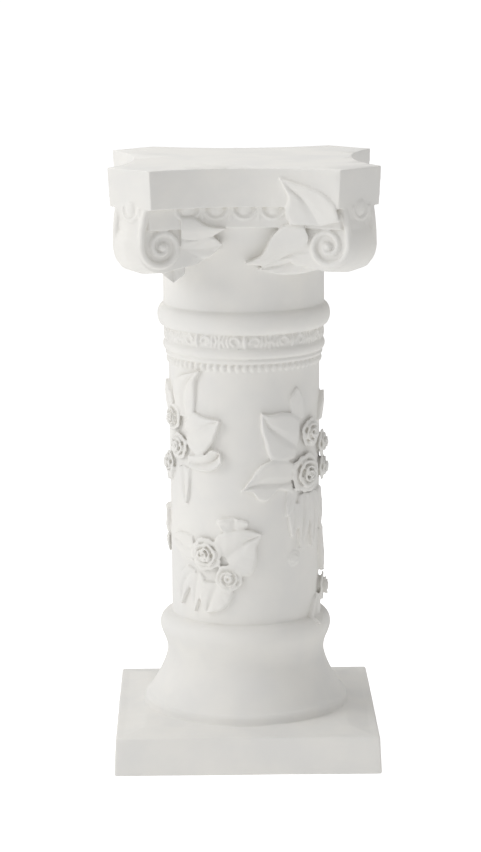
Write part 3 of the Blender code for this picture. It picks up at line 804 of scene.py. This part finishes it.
# %% Garland on the right side
shaft_leaf("garland_leaf", [(82, 268), (83, 240)], [(76, 262), (77, 236)], [(90, 262), (90, 236)], (83, 208),
           height=7.0)
shaft_leaf("leaf_over_ring", [(72, 186), (66, 170)], [(64, 180), (58, 166)], [(82, 180), (74, 162)], (56, 154),
           height=6.0, tip_lift=2.0)
shaft_rose("ring", (86, 189), 17.0, 13.0, turn=60)
print(len(casting_pieces), "pieces so far")

# %% [markdown]
# ## The leaves of the capital
#
# Beside each front scroll a few large leaves fold out over the bell, and on the right one of them climbs
# over the face of the slab. Where a leaf leaves the body, its underside is carried deep into it, as in a
# casting from an open mould, which can't leave a gap behind a leaf.

# %% Capital leaves, left
front = on_capital()
lay(leaf("left_upper_leaf", [(-72, 634), (-58, 633), (-42, 633)], [(-72, 646), (-57, 645), (-40, 634.5)],
         [(-72, 621), (-57, 618), (-38, 622)], (-21, 632), height=7.0, furrow=0.12, cup=-0.25, depth=12), front)
lay(leaf("left_lower_leaf", [(-72, 609), (-56, 608), (-42, 608)], [(-72, 620), (-56, 619), (-38, 623)],
         [(-72, 600), (-56, 596), (-40, 598)], (-25, 613), height=6.0, flute=1.8, veins=2.2, depth=16,
         root=0.8, furrow=0.2), front)
lay(leaf("left_hanging_lobe", [(-82, 596), (-82, 586)], [(-92, 596), (-94, 582)], [(-70, 594), (-68, 580)],
         (-81, 570), height=8.0, depth=20, furrow=0.3), front)

# %% Capital leaves, right
slab_face = on_hollow_side(SLAB_TAPER)
lay(leaf("right_climbing_leaf", [(84, 636), (74, 652), (65, 665), (54, 674)],
         [(50, 637), (45, 652), (48.5, 667), (42, 682)], [(106, 642), (99, 661), (84, 674.5), (60, 683)],
         (38.5, 689.5), height=6.0, furrow=0.6, cup=0.3, depth=14), slab_face)
lay(leaf("right_folded_leaf", [(72, 622), (56, 614), (38, 604), (22, 595)],
         [(66, 637), (46, 636), (31, 622), (19, 600)], [(70, 608), (53, 601), (35, 593), (19, 587)],
         (0, 590), height=8.5, furrow=0.15, cup=-0.15, depth=20), front)
lay(leaf("right_ruffled_leaf", [(82, 598), (62, 594), (40, 588)], [(80, 606), (60, 602), (38, 594)],
         [(84, 584), (60, 578), (38, 577)], (14, 583), height=7.0, flute=2.2, veins=2.6, depth=20, root=0.9), front)
print(len(casting_pieces), "pieces so far")

# %% [markdown]
# ## The sides that the photograph hides
#
# The back and the far sides are not seen. They get plainer sprays in the same hand: fewer leaves, the
# same roses, and a pair of quiet leaves beside the rear scrolls.

# %% Hidden sprays
HIDDEN_SPRAYS = ((-118, 20, 1), (158, 135, -1), (132, -10, -1))
for i, where in enumerate(HIDDEN_SPRAYS):
    shaft_leaf(f"hidden_{i}_right", [(4, 240), (14, 246), (26, 256)], [(0, 254), (12, 266), (28, 270)],
               [(6, 226), (20, 230), (34, 246)], (38, 267), where, height=6.0, furrow=0.6)
    shaft_leaf(f"hidden_{i}_down", [(2, 222), (-2, 206)], [(-6, 220), (-10, 202)], [(10, 220), (8, 202)],
               (-8, 180), where, height=5.0, furrow=0.6)
    shaft_leaf(f"hidden_{i}_left", [(-2, 248), (-12, 256)], [(-4, 238), (-16, 246)], [(0, 262), (-10, 270)],
               (-25, 272), where, height=5.0, furrow=0.6)
    shaft_rose("open", (0, 244), 19.5, 10.0, 40 * i, where)
    shaft_rose("ring", (14, 221), 15.0, 8.5, 25 * i, where)
back = on_capital(side=2)
for side in (-1, 1):
    lay(leaf("rear_leaf", [(side * 72, 630), (side * 56, 628), (side * 40, 624)],
             [(side * 70, 642), (side * 54, 640), (side * 36, 632)],
             [(side * 70, 616), (side * 54, 612), (side * 36, 614)],
             (side * 20, 618), height=6.0, depth=14), back)
for pattern in rose_patterns.values():
    bpy.data.objects.remove(pattern, do_unlink=True)
print(len(casting_pieces), "pieces in all")

# %% [markdown]
# ## Casting it all as one
#
# Now the pieces become a single casting. They are joined, and a voxel remesh replaces them by one skin
# round them all, so every overlap disappears. A few rounds of smoothing soften the steps of the voxels,
# the way a mould softens a sharp model.
#
# Where two pieces nearly touch, the remesh also shuts a little air inside the casting, as a closed
# bubble of its own. The bubbles aren't linked to the outer skin, so selecting everything that is linked
# to the top face, and then turning the selection round, finds them all.

# %% Fuse the pieces
def without_bubbles(piece):
    highest = max(vertex.co.z for vertex in piece.data.vertices)
    edit(piece)
    select_where(piece, lambda place: place.z == highest)
    bpy.ops.mesh.select_linked()
    bpy.ops.mesh.select_all(action="INVERT")
    bpy.ops.mesh.delete(type="VERT")
    finished()


VOXEL = 1.0 * MM
pedestal = joined("cast_pedestal", casting_pieces)
print("before casting:", len(pedestal.data.polygons), "faces")
applied(pedestal, "REMESH", mode="VOXEL", voxel_size=VOXEL)
remeshed = len(pedestal.data.polygons)
without_bubbles(pedestal)
print("bubbles removed:", remeshed - len(pedestal.data.polygons), "faces")
applied(pedestal, "SMOOTH", factor=0.5, iterations=4)
print("fused skin:", len(pedestal.data.polygons), "faces")

# %% [markdown]
# ## Where the wash and the painted shade go
#
# The painter brushed a thin olive wash over the casting and wiped it off again, so it stays in the
# hollows. To find them, a copy of the skin is smoothed until the relief sinks. Where the copy lies above
# the real skin there is a hollow, and where it lies below there is an edge. That difference is kept on
# the mesh as attributes for the material to read: the wide one places the wash, and the fine one places
# the painted shade in the narrow pits.

# %% Measure the hollows
def places_of(piece):
    flat = np.empty(3 * len(piece.data.vertices), np.float32)
    piece.data.vertices.foreach_get("co", flat)
    return flat.reshape(-1, 3)


def normals_of(piece):
    flat = np.empty(3 * len(piece.data.vertices), np.float32)
    piece.data.vertex_normals.foreach_get("vector", flat)
    return flat.reshape(-1, 3)


def hollow_measure(piece, reach):
    """How deep each vertex lies below the smoothed skin, in millimetres, over about this reach."""
    worn = piece.copy()
    worn.data = piece.data.copy()
    bpy.context.scene.collection.objects.link(worn)
    rounds = max(2, round(2 * (reach / (VOXEL / MM)) ** 2))
    applied(worn, "SMOOTH", factor=0.5, iterations=rounds)
    below = ((places_of(worn) - places_of(piece)) * normals_of(piece)).sum(axis=1) / MM
    bpy.data.objects.remove(worn, do_unlink=True)
    return below


wide, fine = hollow_measure(pedestal, 5.0), hollow_measure(pedestal, 2.0)
for name, values in (("wide_hollow", wide), ("fine_hollow", fine)):
    attribute = pedestal.data.attributes.new(name, "FLOAT", "POINT")
    attribute.data.foreach_set("value", values.astype(np.float32))
    print(name, "from", round(float(values.min()), 2), "to", round(float(values.max()), 2), "mm")

# %% [markdown]
# ## The hand-cast surface
#
# No cast surface is flat. A very slight swell in all directions takes the ruler-straight look away, and
# the underside stays flat so that the pedestal stands. Last, Decimate thins the skin where it is plain,
# which keeps the triangles for the roses.

# %% Slight swell, then thin the skin
places, normals = places_of(pedestal), normals_of(pedestal)
swell = np.array([noise.noise(Vector(place) * 14.0) + 0.5 * noise.noise(Vector(place) * 40.0) for place in places])
places += normals * (swell[:, None] * 0.35 * MM)
low, high = np.array(cad_box[0]), np.array(cad_box[1])
places = np.clip(places, low, high).astype(np.float32)
pedestal.data.vertices.foreach_set("co", places.ravel())
pedestal.data.update()
applied(pedestal, "DECIMATE", ratio=190000 / (2 * len(pedestal.data.polygons)))
select_only(pedestal)
bpy.ops.object.shade_smooth()
print("finished skin:", sum(len(face.vertices) - 2 for face in pedestal.data.polygons), "triangles")

# %% [markdown]
# ## Plaster, wash and painted shade
#
# The casting is matt off-white. Its colour has three layers: a faint mottling, the olive-beige wash in
# the hollows that were measured above, and dark brown painted shade in the deepest pits. A fine noise
# through a Bump node gives the chalky skin.

# %% Material
def node(tree, kind, inputs=(), **settings):
    item = tree.nodes.new("ShaderNode" + kind)
    for name, value in settings.items():
        setattr(item, name, value)
    for slot, value in dict(inputs).items():
        if isinstance(value, bpy.types.NodeSocket):
            tree.links.new(value, item.inputs[slot])
        else:
            item.inputs[slot].default_value = value
    return item


def ramp(tree, value, low, high):
    """0 below low, 1 above high, and smooth between."""
    return node(tree, "MapRange", {0: value, 1: low, 2: high}, interpolation_type="SMOOTHSTEP").outputs[0]


def times(tree, a, b):
    return node(tree, "Math", {0: a, 1: b}, operation="MULTIPLY").outputs[0]


def mixed(tree, share, a, b):
    item = node(tree, "Mix", data_type="RGBA")
    for slot, value in ((0, share), (6, a), (7, b)):
        if isinstance(value, bpy.types.NodeSocket):
            tree.links.new(value, item.inputs[slot])
        else:
            item.inputs[slot].default_value = value
    return item.outputs[2]


PLASTER = (0.80, 0.785, 0.75, 1)
PLASTER_COOL = (0.76, 0.75, 0.725, 1)
WASH = (0.42, 0.375, 0.25, 1)
# Dark brown painted shade for the deepest narrow pits.
PAINTED_PIT_SHADE = (0.12, 0.09, 0.045, 1)

material = bpy.data.materials.new("cast_plaster")
material.use_nodes = True
tree = material.node_tree
shader = tree.nodes["Principled BSDF"]
shader.inputs["Roughness"].default_value = 0.82
place = node(tree, "TexCoord").outputs["Object"]
mottle = node(tree, "TexNoise", {"Vector": place, "Scale": 18.0, "Detail": 4.0}).outputs["Fac"]
blotch = node(tree, "TexNoise", {"Vector": place, "Scale": 60.0, "Detail": 3.0}).outputs["Fac"]
grain = node(tree, "TexNoise", {"Vector": place, "Scale": 900.0, "Detail": 3.0}).outputs["Fac"]
wide_hollow = node(tree, "Attribute", attribute_name="wide_hollow").outputs["Fac"]
fine_hollow = node(tree, "Attribute", attribute_name="fine_hollow").outputs["Fac"]
colour = mixed(tree, ramp(tree, mottle, 0.35, 0.7), PLASTER, PLASTER_COOL)
wash_share = times(tree, ramp(tree, wide_hollow, 0.25, 2.0), ramp(tree, blotch, 0.2, 0.75))
colour = mixed(tree, times(tree, wash_share, 0.8), colour, WASH)
# Painted shade: the deepest narrow pits are darkened towards dark brown, standing in for the shade in them.
painted_shade_share = times(tree, ramp(tree, fine_hollow, 0.5, 1.4), 0.75)
colour = mixed(tree, painted_shade_share, colour, PAINTED_PIT_SHADE)
tree.links.new(colour, shader.inputs["Base Color"])
bump = node(tree, "Bump", {"Height": grain, "Strength": 0.25, "Distance": 0.0004})
tree.links.new(bump.outputs["Normal"], shader.inputs["Normal"])
pedestal.data.materials.clear()
pedestal.data.materials.append(material)
print("material:", len(tree.nodes), "nodes")

# %% [markdown]
# ## Floor and light
#
# The photograph is a studio shot on pure white: a large soft light from the upper left and a bright
# surround that fills every shadow. The floor is plain and pale. It glows a little, as a lit table does,
# so that it reads as white and keeps only a soft shadow. The camera sees the surround brighter than the
# light that it sheds, which keeps the backdrop white without washing the casting out.

# %% Floor
floor_material = bpy.data.materials.new("white_floor")
floor_material.use_nodes = True
floor_shader = floor_material.node_tree.nodes["Principled BSDF"]
floor_shader.inputs["Base Color"].default_value = (0.93, 0.93, 0.93, 1)
floor_shader.inputs["Roughness"].default_value = 0.9
floor_shader.inputs["Emission Color"].default_value = (1, 1, 1, 1)
bpy.ops.object.select_all(action="DESELECT")
bpy.ops.mesh.primitive_plane_add(size=60, location=(0, 0, 0))
floor = new_piece("studio_floor")
floor.data.materials.append(floor_material)

# %% Lights and surround
SURROUND_LIGHT, SURROUND_SEEN = 0.50, 1.05
FLOOR_GLOW, FLOOR_GLOW_SEEN = 0.26, 0.60


def seen_brighter(tree, shed, seen):
    """A strength that is one value as light and another as the camera sees it."""
    by_camera = node(tree, "LightPath").outputs["Is Camera Ray"]
    return node(tree, "MapRange", {0: by_camera, 3: shed, 4: seen}).outputs[0]


world = bpy.data.worlds.new("white_studio")
world.use_nodes = True
background = world.node_tree.nodes["Background"]
background.inputs["Color"].default_value = (1, 1, 1, 1)
surround = seen_brighter(world.node_tree, SURROUND_LIGHT, SURROUND_SEEN)
world.node_tree.links.new(surround, background.inputs["Strength"])
glow = seen_brighter(floor_material.node_tree, FLOOR_GLOW, FLOOR_GLOW_SEEN)
floor_material.node_tree.links.new(glow, floor_shader.inputs["Emission Strength"])
bpy.context.scene.world = world


def softbox(name, place, size, watts):
    """A large square light that faces the middle of the pedestal."""
    bpy.ops.object.light_add(type="AREA", location=place)
    light = bpy.context.object
    light.name = name
    light.data.size, light.data.energy = size, watts
    towards = Vector((0, 0, 0.35)) - Vector(place)
    light.rotation_euler = towards.to_track_quat("-Z", "Y").to_euler()


softbox("key_left", (-3.0, -1.0, 1.9), 1.8, 36)
softbox("top", (-0.5, 0.1, 3.2), 2.0, 32)
scene = bpy.context.scene
scene.view_settings.view_transform = "Standard"
scene.view_settings.look = "None"
print("two soft lights and a white surround")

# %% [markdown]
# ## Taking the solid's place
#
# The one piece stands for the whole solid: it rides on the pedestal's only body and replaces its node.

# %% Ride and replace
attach(pedestal, "root")
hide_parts("column_pedestal")
